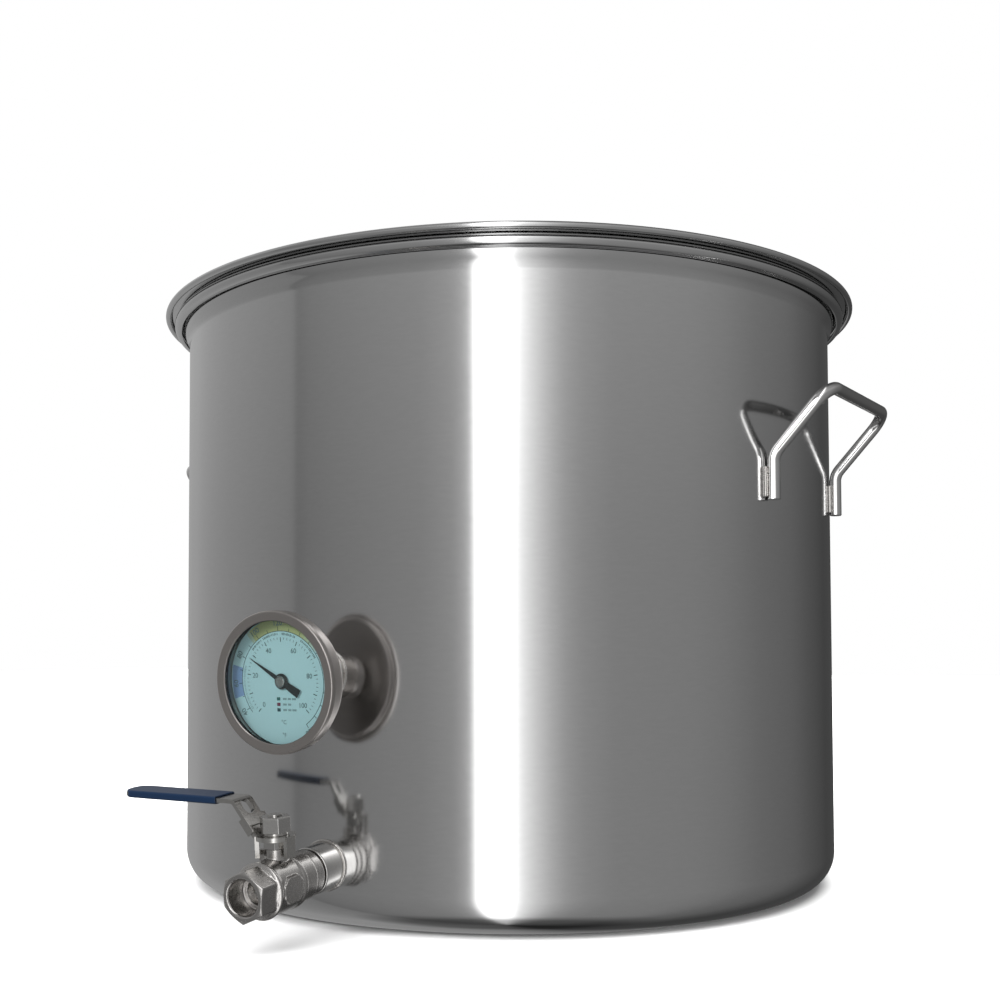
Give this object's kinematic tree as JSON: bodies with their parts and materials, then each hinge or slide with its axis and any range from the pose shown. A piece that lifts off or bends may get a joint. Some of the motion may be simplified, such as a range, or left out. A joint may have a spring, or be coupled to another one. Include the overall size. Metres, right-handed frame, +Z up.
{
  "type": "brew kettle",
  "caption": "Large round stainless brew kettle with a lift-off lid, two bent-rod side handles, a low ball valve with a blue sleeved lever and a front dial thermometer.",
  "frame": {"origin": "centre of the flat underside of the base, on the floor", "axes": "+Z up along the pot's axis; -Y is the front, where the valve and the thermometer point; the side handles lie near +X and -X"},
  "size_m": [0.5615, 0.5803, 0.453],
  "materials": {
    "pot_steel": "semi-bright rolled sheet",
    "lid_steel": "semi-bright rolled sheet",
    "rod_steel": "polished bar",
    "weld_steel": "cleaned weld",
    "cast_steel": "polished casting",
    "machined_steel": "turned",
    "gauge_steel": "satin",
    "lever_steel": "pressed plate",
    "blue_vinyl": "dipped vinyl, semi-matt",
    "ptfe": "matt",
    "rubber": "matt",
    "glass": "clear",
    "dial_paint": "matt printed",
    "pointer_black": "matt",
    "bimetal": "bare strip"
  },
  "bodies": {
    "kettle": {"kettle_shell": "pot_steel", "kettle_rim": "pot_steel", "side_handle_right": "rod_steel", "side_handle_left": "rod_steel", "handle_welds": "weld_steel", "valve_coupling": "machined_steel", "valve_coupling_weld": "weld_steel", "valve_nipple": "machined_steel", "valve_end_cap": "cast_steel", "valve_body": "cast_steel", "ball_seats": "ptfe", "stem_packing": "ptfe", "gland_nut": "machined_steel", "gauge_coupling": "machined_steel", "gauge_coupling_weld": "weld_steel", "gauge_hex": "machined_steel", "gauge_case": "gauge_steel", "gauge_bezel": "gauge_steel", "gauge_glass": "glass", "glass_gasket": "rubber", "gauge_dial": "dial_paint", "dial_post": "machined_steel", "probe_tube": "machined_steel", "bimetal_coil": "bimetal"},
    "lid": {"lid_pan": "lid_steel", "lid_rim": "lid_steel", "lid_handle": "rod_steel", "lid_handle_welds": "weld_steel"},
    "lever": {"valve_lever": "lever_steel", "lever_sleeve": "blue_vinyl", "valve_stem": "machined_steel", "valve_ball": "machined_steel", "lever_washer": "machined_steel", "stem_nut": "machined_steel"},
    "latch": {"lock_latch": "lever_steel"},
    "pointer": {"gauge_pointer": "pointer_black", "pointer_hub": "machined_steel", "gauge_spindle": "machined_steel"}
  },
  "joints": [
    {"name": "lid_lift", "type": "slide", "parent": "kettle", "child": "lid", "axis": [0, 0, 1], "range_m": [0, 0.25]},
    {"name": "lever_turn", "type": "hinge", "parent": "kettle", "child": "lever", "pos_m": [0, -0.28786, 0.03559], "axis": [0, -0.0785, 0.9969], "range_deg": [0, 90]},
    {"name": "latch_slide", "type": "slide", "parent": "lever", "child": "latch", "axis": [-0.6111, -0.0621, 0.7892], "range_m": [0, 0.005]},
    {"name": "pointer_turn", "type": "hinge", "parent": "kettle", "child": "pointer", "pos_m": [0, -0.28487, 0.15093], "axis": [0, -0.9969, -0.0785], "range_deg": [-194, 76]}
  ]
}
